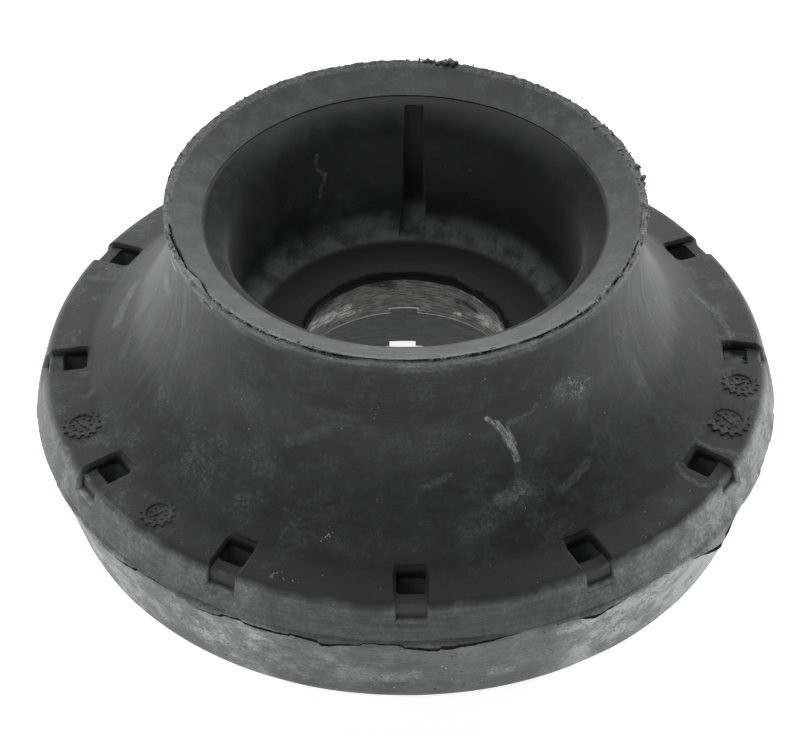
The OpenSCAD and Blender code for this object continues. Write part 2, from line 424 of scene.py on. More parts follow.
def rim_relief(angle):
    """Push off the surface at the rim's torn edge, as a function of the place along the edge.

    A crack with a crumbly skin outside it, a lifted flap, torn layers of film at the front, and ragged fins
    at the back.
    """
    p = around(angle, RIM_R, RIM_Z)
    ahead, right = math.cos(math.radians(angle)), math.sin(math.radians(angle))
    front, back = step(0.3, 0.85, ahead), 1 - step(-0.3, 0.2, ahead)
    crack_at = crack_place(angle)
    crack_depth = (0.2 + 1.0 * step(-0.3, 0.3, wobble(p, 5, 13))) * (1 - back)
    rough = 0.25 + 0.5 * step(-0.2, 0.3, right) + 0.15 * step(0.4, 0.9, -right)
    rough *= 0.35 + 0.9 * step(-0.2, 0.35, wobble(p, 3.1, 9))
    film = [0.5 + 0.5 * k + 0.35 * wobble(p, 6, 14 + k) + 0.14 * wobble(p, 1.2, 17 + k) for k in range(3)]
    ragged = 0.18 * max(0, wobble(p, 2.6, 31)) + 0.13 * wobble(p, 0.8, 32) + 0.08 * wobble(p, 0.35, 33)
    fins = back * (0.1 + ragged)
    flap = 0.5 * bell(turn_between(angle, FLAP_ANGLE), 4) * (0.8 + 0.6 * wobble(p, 1.5, 34))

    def push(along):
        q = around(angle, RIM_R, RIM_Z + along)
        height = (fins - 0.14) * bell(along, 0.3) - 0.06 * step(EDGE_DOWN - 1, EDGE_DOWN, along)
        height -= crack_depth * bell(along - crack_at, 0.2)
        height += flap * step(crack_at + 0.05, crack_at + 0.2, along) * (1 - step(0.5, 1.4, along))
        skin = step(crack_at, crack_at + 0.15, along) * (1 - step(0.25, 0.8, along))
        if skin > 0.01:
            cell = 0.8 + 0.3 * wobble(q, 2.3, 8)
            grain = max(0, 0.6 - noise.voronoi((q + q.yzx * 0.02) / cell)[0][0])
            height += skin * rough * (0.35 * grain + 0.16 * wobble(q, 0.4, 21) + 0.2 * wobble(q, 1.3, 22))
        if front > 0 and along > -0.2:
            height += front * 0.1 * sum(1 - step(end - 0.05, end + 0.05, along) for end in film)
        return height

    return push


def rim_tilt(along):
    """Direction of the push off the surface: level on the flank, square to the face inside the edge."""
    return (math.pi / 2 + RIM_SLOPE) * (1 - step(-0.3, 0.3, along))


def rim_edge():
    """Dense strip with the rim's torn edge, closed below the surface."""
    line = edge_line(EDGE_STEP)
    verts = []
    for i in range(EDGE_TURN_STEPS):
        angle = 360 * i / EDGE_TURN_STEPS
        relief = rim_relief(angle)
        for along in line:
            r, z = rim_point(along)
            away, height = rim_tilt(along), relief(along)
            push = unevenness(around(angle, r, z)) + height * math.cos(away)
            verts.append(around(angle, r + push, z + height * math.sin(away)))
        for r, z in ((RIM_R - 1.6, RIM_Z - 2.6), (MOUTH_R + 0.1, RIM_Z - RIM_FALL - 0.6)):
            verts.append(around(angle, r, z))
    return mesh_object("rim_edge", verts, ring_faces(EDGE_TURN_STEPS, len(line) + 2), 60)


def rim_crack(angle):
    """Painted shadow: a dark strip in the open stretches of the crack."""
    p = around(angle, RIM_R, RIM_Z)
    half = 0.03 + 0.16 * wobble(p, 4, 51) + 0.1 * wobble(p, 1.1, 52) + 0.04 * wobble(p, 0.4, 53)
    half -= 0.4 * (1 - step(-0.2, 0.2, math.cos(math.radians(angle))))
    # Where the crack is shut, the strip is thin and out of sight
    top = 0.04 if half > CRACK_HALF else -0.4
    half = max(half, CRACK_HALF)
    place = crack_place(angle)
    away = rim_tilt(place)
    points = []
    for side, up in ((-1, top), (1, top), (1, top - 0.3), (-1, top - 0.3)):
        r, z = rim_point(place + side * half)
        points.append((r + unevenness(p) + up * math.cos(away), z + up * math.sin(away)))
    return points


# Moulding flash and marks


def flash_strip(name, section, steps=1440):
    """Closed strip round the axis; section gives its outline at a direction."""
    rings = [[around(360 * i / steps, r, z) for r, z in section(360 * i / steps)] for i in range(steps)]
    return mesh_object(name, [p for ring in rings for p in ring], ring_faces(steps, len(rings[0])), 50)


# Direction, half width, hang and stand-off of the larger tears in the parting-line flash
PARTING_TEARS = [
    (54, 5, 0.9, 1.1), (-54, 6, 0.6, 0.4), (-33, 5, 0.7, 0.4), (-13, 4, 0.4, 0.4), (7, 7, 0.4, 0.45),
    (30, 3, 0.35, 0.4), (140, 9, 0.7, 0.5), (-150, 8, 0.6, 0.4),
]


def parting_flash(angle):
    """Thin skin of rubber that hangs over the parting line."""
    p = around(angle, FLANGE_R, PARTING_Z)
    flap = step(0.0, 0.08, wobble(p, 7, 26))
    hang = 0.15 + 0.35 * flap + 0.15 * wobble(p, 2.2, 22) + 0.1 * wobble(p, 0.8, 23)
    lift = 0.02 + 0.14 * flap + 0.12 * max(0, wobble(p, 13, 24))
    for centre, width, more_hang, more_lift in PARTING_TEARS:
        share = bell(turn_between(angle, centre), width)
        hang += share * more_hang * (0.6 + 0.4 * wobble(p, 1.7, 25))
        lift += share * more_lift
    wall, low_z = FLANGE_R + unevenness(p), PARTING_Z - max(hang, 0.06)
    return [
        (wall - 0.3, PARTING_Z + 0.6), (wall - 0.02 + 0.3 * lift, PARTING_Z + 0.15), (wall + lift, low_z),
        (wall + lift - 0.14, low_z + 0.04), (wall - 0.15, PARTING_Z - 0.1),
    ]


# Direction, half width and height of the wider places in the gap below the flash
WIDE_GAPS = [
    (-13, 4, 0.5), (-23, 5, 0.35), (9, 6, 0.5), (1, 4, 0.25), (30.5, 2.5, 0.65), (55, 5, 0.3),
    (-50, 14, 0.3), (110, 10, 0.4), (-120, 9, 0.4), (170, 8, 0.4), (21, 4, -0.6), (42, 4, -0.5),
    (-100, 8, -0.4), (140, 8, -0.4),
]
# Direction where the painted-shadow strip bulges out of the gap as a torn flap
SHADOW_FLAP_ANGLE = 57


def parting_gap(angle):
    """Painted shadow: a dark strip in the gap below the flash."""
    p = around(angle, FLANGE_R, PARTING_Z)
    edge_r, edge_z = parting_flash(angle)[2]
    r = FLANGE_R - UNDERCUT + unevenness(p)
    open_gap = 0.18 + 0.2 * wobble(p, 5, 27) + 0.15 * wobble(p, 1.2, 28)
    open_gap += sum(more * bell(turn_between(angle, centre), width) for centre, width, more in WIDE_GAPS)
    tall = 0.9 * (edge_r - r) + max(0, open_gap)
    flap = (edge_r - r + 0.12) * bell(turn_between(angle, SHADOW_FLAP_ANGLE), 4)
    back, out, low_z = r - 0.3, r + 0.05 + flap, edge_z - tall
    return [(back, edge_z + 0.1), (out, edge_z + 0.1), (out - 0.3 * flap, low_z), (back, low_z - 0.1)]


def lumps(name, places):
    """Small knobbly lumps, each given by its centre and radius."""
    chance = random.Random(5)
    ball = bmesh.new()
    bmesh.ops.create_icosphere(ball, subdivisions=2, radius=1)
    ways, tris = [v.co.copy() for v in ball.verts], [[v.index for v in f.verts] for f in ball.faces]
    ball.free()
    verts, faces = [], []
    for n, (centre, radius) in enumerate(places):
        stretch = Vector([chance.uniform(0.6, 1.3) for _ in range(3)])
        faces += [[len(verts) + i for i in tri] for tri in tris]
        verts += [centre + way * stretch * radius * (1 + 0.5 * wobble(way, 0.8, n)) for way in ways]
    return mesh_object(name, verts, faces, 60)


# Crumbs on the rim's edge: directions, places along the edge, radii, count, and height they are heaped to
RIM_CRUMBS = [
    ((35, 125), (-1.3, 0.4), (0.06, 0.20), 150, 0.05), ((-80, -20), (-1.1, 0.5), (0.06, 0.20), 110, 0.05),
    ((-20, 38), (0.0, 1.5), (0.06, 0.18), 60, 0.05), ((130, 260), (-0.3, 0.3), (0.08, 0.2), 90, 0.05),
    ((167.5, 171), (-0.6, 0.1), (0.30, 0.50), 14, 0.5), ((171, 177), (-0.5, 0.1), (0.15, 0.35), 18, 0.25),
    ((98, 100), (-0.3, 0.4), (0.25, 0.45), 5, 0.5),
    ((84.2, 85.6), (-0.3, 0.2), (0.2, 0.35), 4, 0.4), ((122.8, 124.2), (-1.9, -1.5), (0.2, 0.3), 3, 0.05),
    ((58, 63), (-0.9, -0.5), (0.15, 0.3), 7, 0.1), ((104, 106), (-0.6, 0), (0.2, 0.35), 5, 0.2),
]


def crumbs():
    chance = random.Random(3)
    places = []
    for directions, reach, sizes, count, heap in RIM_CRUMBS:
        for _ in range(count):
            r, z = rim_point(chance.uniform(*reach))
            place = around(chance.uniform(*directions), r, z + chance.uniform(0, heap))
            places.append((place, chance.uniform(*sizes)))
    return lumps("rubber_crumbs", places)


# Thickness of the film in a slot
FILM_T = 0.35


def slot_film(angle):
    """Torn film of rubber that covers most of one pocket."""
    rows, columns, half = 16, 16, SLOT_W / 2 + 0.1
    sheets = []
    for depth in (0, FILM_T):
        for i in range(rows + 1):
            for j in range(columns + 1):
                y = -half + 2 * half * j / columns
                long = 0.8 + 0.35 * wobble((y, angle, 0), 1.3, 43) + 0.1 * wobble((y, angle, 0), 0.4, 44)
                p = on_spoke(angle, FOOT[0] - 0.2 + (POCKET_L + 0.6) * long * i / rows, y, LEDGE_Z - 0.5)
                p.z += 0.7 * wobble(p, 1.6, 45) + 0.2 * wobble(p, 0.6, 46) - 0.9 * (i / rows) ** 3 - depth
                sheets.append(p)
    width, count = columns + 1, (rows + 1) * (columns + 1)
    faces = []
    for i in range(rows):
        for j in range(columns):
            k = i * width + j
            quad = (k, k + 1, k + width + 1, k + width)
            faces += [quad, tuple(count + n for n in quad[::-1])]
    border = list(range(columns)) + [i * width + columns for i in range(rows)]
    border += [rows * width + columns - j for j in range(columns)] + [(rows - i) * width for i in range(rows)]
    faces += [(a, b, b + count, a + count) for a, b in zip(border, border[1:] + border[:1])]
    return mesh_object("slot_film", sheets, faces, 60)


# Clusters of pale specks: start and end on the surface, spread, count
SPECKS = [
    ((-12.0, -46.0, 27.2), (-11.0, -46.0, 27.2), 1.2, 9), ((-4.8, -37.3, 44.7), (-4.4, -37.3, 44.6), 0.9, 5),
    ((-20.8, -51.5, 24.0), (-16.1, -52.6, 24.0), 0.9, 16),
    ((24.0, -29.5, 42.0), (27.5, -27.4, 41.5), 1.5, 110),
    ((-24.4, -29.6, 41.3), (-22.2, -33.2, 37.2), 1.6, 10), ((32.0, -19.5, 44.5), (34.0, -17.0, 43.5), 1.2, 8),
]
# Pale grit on the rim's edge: directions, places along the edge, radii, count
RIM_GRIT = [
    ((-61, -49), (-0.7, 0.6), (0.05, 0.15), 70), ((-48, -28), (-0.2, 0.9), (0.05, 0.15), 30),
    ((25, 52), (-0.6, 0.9), (0.05, 0.15), 24), ((52, 120), (-1.6, 0.3), (0.05, 0.15), 40),
    ((-57.5, -50.5), (1.1, 2.6), (0.08, 0.26), 46),
]
# Specks on the lower band: directions, heights, count
BAND_SPECKS = [
    ((-62, 66), (2.5, 15.5), 80), ((-8, 8), (3, 9), 40), ((-38, -22), (6, 14), 30), ((20, 45), (6, 15), 30),
]


def specks(wall_top):
    chance = random.Random(11)
    places = []

    def add(place, smallest, largest):
        places.append((place, chance.uniform(smallest, largest)))

    def on_skin(angle, r, z):
        p = around(angle, r, z)
        return p + around(angle, unevenness(p), 0)

    def on_surface(angle, r, z):
        pitch = 360 / SLOTS
        if z > FOOT[1] + 0.4:
            return on_skin(angle, flank_r(z), z)
        beside = (angle - SLOT_TURN + pitch / 2) % pitch - pitch / 2
        p = around(angle + math.copysign(max(0, 4 - abs(beside)), beside), r, top_z(r))
        return p + Vector((0, 0, sag(p)))

    for start, end, spread, count in SPECKS:
        for _ in range(count):
            p = Vector(start).lerp(Vector(end), chance.random())
            p += Vector([chance.gauss(0, spread / 2) for _ in range(3)])
            angle, r = math.degrees(math.atan2(p.x, -p.y)), math.hypot(p.x, p.y)
            add(on_surface(angle, max(r, FOOT[0]), p.z), 0.05, 0.17)
    for directions, reach, sizes, count in RIM_GRIT:
        for _ in range(count):
            angle, along = chance.uniform(*directions), chance.uniform(*reach)
            add(on_skin(angle, *rim_point(along)), *sizes)
    # Single specks on the flank, on the flange and in the bowl
    for _ in range(150):
        add(on_surface(chance.uniform(-180, 180), 0, chance.uniform(26, 51)), 0.04, 0.09)
        add(on_surface(chance.uniform(-180, 180), chance.uniform(51, 56.5), 0), 0.04, 0.09)
    for _ in range(70):
        z = chance.uniform(33.5, wall_top[1])
        r = wall_top[0] - (wall_top[1] - z) * math.tan(math.radians(DRAFT))
        add(around(chance.uniform(-180, 180), r, z), 0.04, 0.08)
    for directions, heights, count in BAND_SPECKS:
        for _ in range(count):
            z = chance.uniform(*heights)
            add(on_skin(chance.uniform(*directions), wall_r(z), z), 0.07, 0.17)
    return lumps("dust_specks", places)


def date_ring(name, angle, r, radius, teeth, pointer):
    """Moulded date ring on the flange: a toothed rim round a dial with ticks and a pointer."""
    slope = (FOOT[1] - TOP_EDGE[1]) / (TOP_EDGE[0] - FOOT[0])
    out = around(angle, 1, 0)
    centre = around(angle, r, top_z(r))
    centre.z += sag(centre)
    up = (out * slope + Vector((0, 0, 1))).normalized()
    side = Vector((0, 0, 1)).cross(out)
    rise = up.cross(side)

    def place(u, v, height):
        return centre + side * u + rise * v + up * height

    steps = teeth * 10
    verts, faces = [], ring_faces(steps, 5)
    for i in range(steps):
        t = math.tau * i / steps
        tooth = 0.1 * radius * math.tanh(3 * math.cos(teeth * t))
        edge = radius + tooth + 0.03 * radius * wobble((math.cos(t), math.sin(t), radius), 0.4, 41)
        loops = [(edge + 0.15, -0.08), (edge, 0.2), (edge - 0.35, 0.22)]
        loops += [(radius * 0.72, 0.16), (radius * 0.66, -0.1)]
        verts += [place(d * math.cos(t), d * math.sin(t), h) for d, h in loops]

    def bar(t, inner, outer, half, height):
        c, n = math.cos(t), math.sin(t)
        plan = [(inner, -half), (outer, -half), (outer, half), (inner, half)]
        low = [place(d * c - w * n, d * n + w * c, -0.1) for d, w in plan]
        top = [place(d * c - w * 0.6 * n, d * n + w * 0.6 * c, height) for d, w in plan]
        v, f = loft(low, top)
        faces.extend(tuple(len(verts) + i for i in face) for face in f)
        verts.extend(v)

    for i in range(8):
        bar(math.tau * (i + 0.5) / 8, 0.42 * radius, 0.58 * radius, 0.09 * radius, 0.14)
    turn = math.radians(pointer)
    bar(turn, -0.3 * radius, 0.3 * radius, 0.1 * radius, 0.18)
    return mesh_object(name, verts, faces, 40)


# Date rings: name, direction, distance from the axis, radius, teeth, turn of the pointer
DATE_RINGS = [
    ("date_ring_left", -71.5, 53.4, 2.85, 13, 20), ("date_ring_front", -45.2, 53.4, 2.6, 12, 75),
    ("date_ring_right", 82.5, 53.4, 2.75, 14, 130), ("date_ring_near_right", 72.5, 53.0, 3.3, 14, 60),
]


# Materials


class Shader:
    """Short forms for a material's node tree."""

    def __init__(self, name):
        self.material = bpy.data.materials.new(name)
        self.material.use_nodes = True
        self.tree = self.material.node_tree
        self.tree.nodes.clear()

    def node(self, kind, inputs=(), **settings):
        made = self.tree.nodes.new(kind)
        for key, value in settings.items():
            setattr(made, key, value)
        for key, value in dict(inputs).items():
            self.feed(made.inputs[key], value)
        return made

    def feed(self, socket, value):
        if isinstance(value, bpy.types.NodeSocket):
            self.tree.links.new(value, socket)
        else:
            socket.default_value = value

    def math(self, operation, a, b=0.0):
        return self.node("ShaderNodeMath", {0: a, 1: b}, operation=operation).outputs[0]

    def ramp(self, value, low, high, to_low=0.0, to_high=1.0):
        """Smooth step of a value between two limits."""
        inputs = {"Value": value, "From Min": low, "From Max": high, "To Min": to_low, "To Max": to_high}
        return self.node("ShaderNodeMapRange", inputs, interpolation_type="SMOOTHSTEP").outputs[0]

    def fall(self, value, low, high):
        """Smooth step down from one to zero between two limits."""
        return self.ramp(value, low, high, 1.0, 0.0)

    def mix(self, share, a, b):
        made = self.node("ShaderNodeMix", data_type="RGBA")
        for socket, value in zip((made.inputs[0], made.inputs[6], made.inputs[7]), (share, a, b)):
            self.feed(socket, value)
        return made.outputs[2]

    def noise(self, vector, scale, detail=3.0, roughness=0.55):
        inputs = {"Vector": vector, "Scale": scale, "Detail": detail, "Roughness": roughness}
        return self.node("ShaderNodeTexNoise", inputs).outputs[0]

    def times(self, *values):
        return self.fold("MULTIPLY", values)

    def plus(self, *values):
        return self.fold("ADD", values)

    def total(self, base, *parts):
        """A value plus products, each given by its factors."""
        return self.plus(base, *[self.times(*part) for part in parts])

    def fold(self, operation, values):
        total = values[0]
        for value in values[1:]:
            total = self.math(operation, total, value)
        return total

    def less(self, value):
        """One minus a value."""
        return self.math("SUBTRACT", 1.0, value)

    def band(self, value, low, high, soft):
        """One between two limits, with soft ends."""
        past_low, past_high = (self.ramp(value, limit - soft, limit + soft) for limit in (low, high))
        return self.times(past_low, self.less(past_high))

    def clamped(self, value):
        return self.math("MAXIMUM", self.math("MINIMUM", value, 1.0), 0.0)

    def vectors(self, operation, a, b):
        """Sum, difference or product of two vectors."""
        return self.node("ShaderNodeVectorMath", {0: a, 1: b}, operation=operation).outputs[0]

    def measure(self, operation, a, b):
        """Distance or dot product of two vectors."""
        return self.node("ShaderNodeVectorMath", {0: a, 1: b}, operation=operation).outputs["Value"]

    def scaled(self, vector, share):
        return self.node("ShaderNodeVectorMath", {0: vector, "Scale": share}, operation="SCALE").outputs[0]

    def bent(self, mm, scale, roughness, reach):
        """Position shifted by noise, so that marks get ragged edges."""
        inputs = {"Vector": mm, "Scale": scale, "Detail": 4.0, "Roughness": roughness}
        shift = self.vectors("SUBTRACT", self.node("ShaderNodeTexNoise", inputs).outputs[1], (0.5, 0.5, 0.5))
        return self.vectors("ADD", mm, self.vectors("MULTIPLY", shift, reach))

    def position(self):
        """Position in millimetres, and its distance from the axis, turn from the front and height."""
        place = self.node("ShaderNodeTexCoord").outputs["Object"]
        mm = self.vectors("MULTIPLY", place, (1 / MM,) * 3)
        x, y, z = self.node("ShaderNodeSeparateXYZ", {0: mm}).outputs
        r = self.math("SQRT", self.plus(self.times(x, x), self.times(y, y)))
        turn = self.math("ARCTAN2", x, self.times(y, -1.0))
        return mm, r, turn, z

    def stroke(self, mm, start, end, width):
        """One along a straight line between two points, fading to zero at a distance of width."""
        start, end = Vector(start), Vector(end)
        run = end - start
        offset = self.vectors("SUBTRACT", mm, start)
        along = self.measure("DOT_PRODUCT", offset, run / run.length_squared)
        away = self.measure("DISTANCE", offset, self.scaled(run, self.clamped(along)))
        return self.fall(away, 0.3 * width, width)

    def vector(self, x, y, z):
        return self.node("ShaderNodeCombineXYZ", {0: x, 1: y, 2: z}).outputs[0]

    def bump(self, strength, height):
        inputs = {"Strength": strength, "Distance": 0.0001, "Height": height}
        return self.node("ShaderNodeBump", inputs).outputs[0]

    def finish(self, inputs):
        """The material, with a surface of these inputs."""
        surface = self.node("ShaderNodeBsdfPrincipled", inputs)
        self.node("ShaderNodeOutputMaterial", {0: surface.outputs[0]})
        return self.material


# Bright scuff on the flank: its line, and the half width of each stretch
BRIGHT_SCUFF = [
    (12.3, -36.1, 42.1), (13.9, -35.9, 40.7), (15.1, -36, 39.4), (16.2, -36.6, 37.1), (16.8, -37.3, 35),
]
BRIGHT_SCUFF_W = [0.6, 0.95, 1.05, 0.75]
# Scuffs on the rubber: line, half width, strength
SCUFFS = [
    ([(16.8, -37.3, 35.2), (17.2, -39.2, 31.9)], 0.8, 0.07),
    ([(15.6, -35.3, 40.4), (19, -33.1, 41), (19.7, -32.7, 41.9)], 0.7, 0.14),
    ([(24, -29.8, 42.4), (27, -27.7, 41)], 3, 0.2),
    ([(-14.4, -35.1, 43), (-9, -36.9, 42.6), (-13.3, -36.6, 39.6), (-17.6, -35.7, 37.4)], 1.5, 0.065),
    ([(-24.4, -29.6, 41.3), (-22.2, -33.2, 37.2), (-21.9, -36.8, 32.2)], 2.6, 0.045),
    ([(9.7, -45.5, 27.9), (15.1, -42.1, 29.8), (18.2, -39.5, 31.4)], 3.2, 0.08),
    ([(14.4, -41.8, 30.6), (17.8, -39.8, 31.2)], 1.6, 0.17),
    ([(24, -38, 29.6), (27.9, -33.5, 31.2)], 1, 0.12),
    ([(2.9, -41.9, 33.3), (6.8, -40.6, 34.6)], 0.8, 0.1),
    ([(-14.1, 24, 46.2), (-14.6, 23.7, 43.9), (-13, 24.4, 41.9), (-13.9, 23.6, 38)], 0.55, 0.4),
    ([(-36.9, -5, 49), (-37.2, -5.6, 44.5)], 1.6, 0.12),
    ([(-37.6, -2.5, 53.4), (-37, -5.6, 52.2), (-35.9, -9.9, 51.4), (-35.2, -12.1, 51.4)], 0.6, 0.85),
    ([(41.9, -27.2, 25.2), (43.6, -29.7, 24.4), (45.5, -31, 24.1), (49, -29.6, 23.2)], 0.6, 0.16),
    ([(45.2, -21.3, 25.2), (48.9, -22.8, 24.2), (52, -23.4, 23.8)], 0.6, 0.16),
    ([(-37.5, -4.8, 43.4), (-36.6, -8.6, 44.5)], 1.7, 0.22),
    ([(-43.6, 11.1, 29.5), (-45, 7.1, 28.9), (-45.9, 3.6, 28.5)], 1.9, 0.2),
    ([(-42.4, 1, 33.5), (-44.4, -6, 29.2)], 1.4, 0.07),
    ([(45.9, 13.4, 26.8), (49.9, 10.6, 24.7), (52.2, 5, 24.4)], 1, 0.14),
    ([(37.3, 6, 43), (40, 7, 37), (45, 8.6, 29.5)], 1.2, 0.12),
    ([(41, -42, 16), (36, -45.6, 14), (32, -48.6, 14.6)], 2.4, 0.45),
    ([(33, -46.5, 11), (30, -48.2, 8.6)], 1.8, 0.3),
    ([(28.5, -50.5, 13.8), (24, -52.6, 14)], 1.8, 0.3),
    ([(13, -54.2, 6.6), (16, -53.2, 6)], 1.5, 0.2),
    ([(-2.5, -55.6, 6.6), (1.5, -56, 7.8)], 2, 0.22),
    ([(-25.1, -52.6, 14.9), (-20, -54, 12.9)], 1.6, 0.1),
    ([(-46.4, -35.2, 15), (-42, -39.6, 13)], 2.6, 0.2),
    ([(33, -18.1, 44.5), (36.3, -18.9, 35.2)], 2.4, 0.07),
    ([(38, -8, 40), (40.2, -1, 36.6)], 2.6, 0.06),
]
# Dust on the lower band and the outer wall, with painted glow in the strong entries near the far sides:
# direction, half width, strength
BAND_DUST = [
    (67, 0.6, 0.95), (50, 0.3, 0.4), (33, 0.22, 0.5), (-66, 0.5, 0.8), (-47, 0.25, 0.25),
    (-29, 0.25, 0.5), (-12, 0.14, 0.12), (150, 0.5, 0.16), (-140, 0.5, 0.14),
]


def rubber_material():
    """Matte black rubber, dusty, with mould streaks and scuffs, painted shade and painted highlights."""
    s = Shader("moulded_rubber")
    mm, r, turn, z = s.position()
    cloud = s.noise(mm, 0.05, 4, 0.6)
    blotch = s.noise(mm, 0.22, 5, 0.65)
    grain = s.noise(mm, 1.5, 3, 0.6)
    fine = s.noise(mm, 6, 2)
    around_streaks = s.noise(s.vector(s.times(turn, 9), s.times(z, 1.6), s.times(r, 1.6)), 1, 5, 0.7)
    down_streaks = s.noise(s.vector(s.times(turn, 26), s.times(z, 0.07), 0), 1, 5, 0.7)
    bent = s.bent(mm, 0.45, 0.65, (1.5, 1.5, 1.5))

    # Places on the body, one inside each and zero outside
    forward, rightward = s.math("COSINE", turn), s.math("SINE", turn)
    beside = s.math("ABSOLUTE", rightward)
    low = s.fall(z, 16.7, 17.3)
    below, chamber = s.times(low, s.ramp(r, 45, 50)), s.times(low, s.fall(r, 33, 34))
    lip_edge = s.ramp(s.total(r, (blotch, 3)), 18, 18.4)
    lip_wall = s.times(s.less(lip_edge), s.fall(z, 28.05, 28.25))
    lip_ring = s.times(s.band(r, 18.25, 18.6, 0.12), s.band(z, 27.8, 29, 0.2))
    wall = s.times(s.ramp(r, 56.8, 57.8), s.less(below))
    top_edge = s.times(s.band(r, 57, 58.2, 0.4), s.ramp(z, 21, 22))
    # Painted highlight: a thin pale line along the flange's top edge, stronger at the sides
    edge_highlight = s.times(s.band(r, 56.4, 57.1, 0.2), s.band(z, 22.5, 23.5, 0.25))
    rim = s.times(s.ramp(z, 51.9, 52.3), s.ramp(r, 31, 31.8))
    torn = s.times(s.ramp(z, 53, 53.6), s.ramp(r, 36.2, 36.8))
    flank = s.times(s.band(z, 25.2, 54, 1.5), s.ramp(r, 36.4, 37))
    sides = s.times(s.ramp(beside, 0.72, 0.97), s.ramp(z, 24, 42))
    bowl = s.times(s.fall(r, 31.4, 31.8), s.band(z, 29, 52, 0.6))
    bowl_floor = s.times(s.fall(r, 23.2, 24.4), s.fall(z, 29, 29.8))
    bowl_fillet = s.times(s.band(r, 24.2, 31, 0.5), s.ramp(z, 28.2, 28.5), s.fall(z, 30.4, 33.2))
    lap = s.math("DIVIDE", s.math("SUBTRACT", turn, math.radians(SLOT_TURN)), math.tau / SLOTS)
    aside = s.times(s.math("SUBTRACT", lap, s.math("ROUND", lap)), r, math.tau / SLOTS)
    slot = s.fall(s.math("ABSOLUTE", aside), SLOT_W / 2, SLOT_W / 2 + 0.3)
    pocket = s.times(slot, s.band(r, 50.4, 54.9, 0.1), s.band(z, 13.5, 22.75, 0.25))
    notch_wall = s.times(slot, s.band(r, 56.4, 57.2, 0.15), s.band(z, 20.9, 22.9, 0.25))
    notch_floor = s.times(slot, s.ramp(r, 56.9, 57.2), s.band(z, 20.3, 20.8, 0.1))
    shelf = s.times(s.ramp(r, 48.5, 51), s.fall(r, 56, 57.5), s.ramp(z, 22, 23))
    mouth = s.times(s.fall(r, 30.8, 32), s.ramp(z, 43.5, 48.5), s.ramp(forward, -0.9, -0.3))
    flare_foot = s.times(s.band(r, 42, 50.5, 2.5), s.band(z, 24.5, 33, 2))
    upper_front = s.times(flank, s.band(z, 42, 53, 3), s.ramp(forward, 0.5, 0.9))
    far_right = s.ramp(rightward, 0.84, 0.97)
    left_part, right_part = s.band(turn, -1.15, -0.3, 0.2), s.band(turn, 0.2, 0.9, 0.2)
    front_left = s.times(left_part, s.band(r, 40, 56, 1.5), s.band(z, 23.5, 34, 1.5))
    front_right = s.times(right_part, s.band(r, 37, 52, 1.5), s.band(z, 24, 46, 3))
    right_wall = s.band(rightward, 0.62, 0.955, 0.04)
    bowl_left = s.fall(rightward, -0.5, 0.2)
    low_left = s.times(bowl_left, s.fall(forward, -0.6, -0.35), s.fall(z, 36, 42))

    # Patterns of dusting, painted highlights and painted glow, and their amount in each place
    uneven = s.total(0.0, (cloud, 0.45), (blotch, 0.4), (grain, 0.15))
    patchy = s.ramp(uneven, 0.42, 0.60)
    broken = s.ramp(s.plus(s.times(grain, 0.5), s.times(fine, 0.5)), 0.40, 0.60)
    band_dust_and_glow = 0.0
    for degrees, width, strength in BAND_DUST:
        off = s.math("ABSOLUTE", s.math("SUBTRACT", turn, math.radians(degrees)))
        band_dust_and_glow = s.total(band_dust_and_glow, (s.fall(off, 0.0, width), strength))
    streaky = s.ramp(around_streaks, 0.38, 0.68)
    smeared = s.ramp(s.plus(s.times(blotch, 0.6), s.times(s.noise(bent, 0.13, 4, 0.6), 0.4)), 0.5, 0.62)
    speckled = s.ramp(s.plus(s.times(grain, 0.6), s.times(fine, 0.4)), 0.42, 0.66)
    mottle = s.times(s.ramp(blotch, 0.45, 0.65), speckled)
    # Pale streaks fanning down the flank at the sides: dust and painted highlight
    fan_dust_and_highlights = s.times(sides, s.ramp(down_streaks, 0.44, 0.66), s.total(0.08, (broken, 0.14)))
    # Lower band and outer wall: dust, with painted glow towards the far sides and at the far right
    below_dust_and_glow = s.total(
        0.06, (streaky, 0.1), (patchy, 0.11), (smeared, 0.12),
        (band_dust_and_glow, s.total(0.45, (patchy, 0.8), (smeared, 0.5))),
    )
    wall_dust_and_glow = s.total(
        0.04, (patchy, 0.06), (mottle, 0.03), (streaky, 0.09), (band_dust_and_glow, s.total(0.17, (patchy, 0.45))),
        (far_right, s.total(0.15, (patchy, 0.3))), (right_wall, 0.13),
    )
    rim_dust = s.total(0.03, (patchy, 0.05), (s.ramp(blotch, 0.4, 0.65), 0.06), (mottle, 0.06))
    shelf_dust = s.times(s.ramp(beside, 0.5, 0.95, 0.1, 0.6), s.total(mottle, (smeared, 0.5)))
    flank_dust_and_highlights = s.total(fan_dust_and_highlights, (patchy, 0.03), (mottle, 0.06), (streaky, 0.02))
    fillet_dust = s.plus(0.25, s.ramp(s.total(blotch, (down_streaks, 0.3)), 0.52, 0.72))
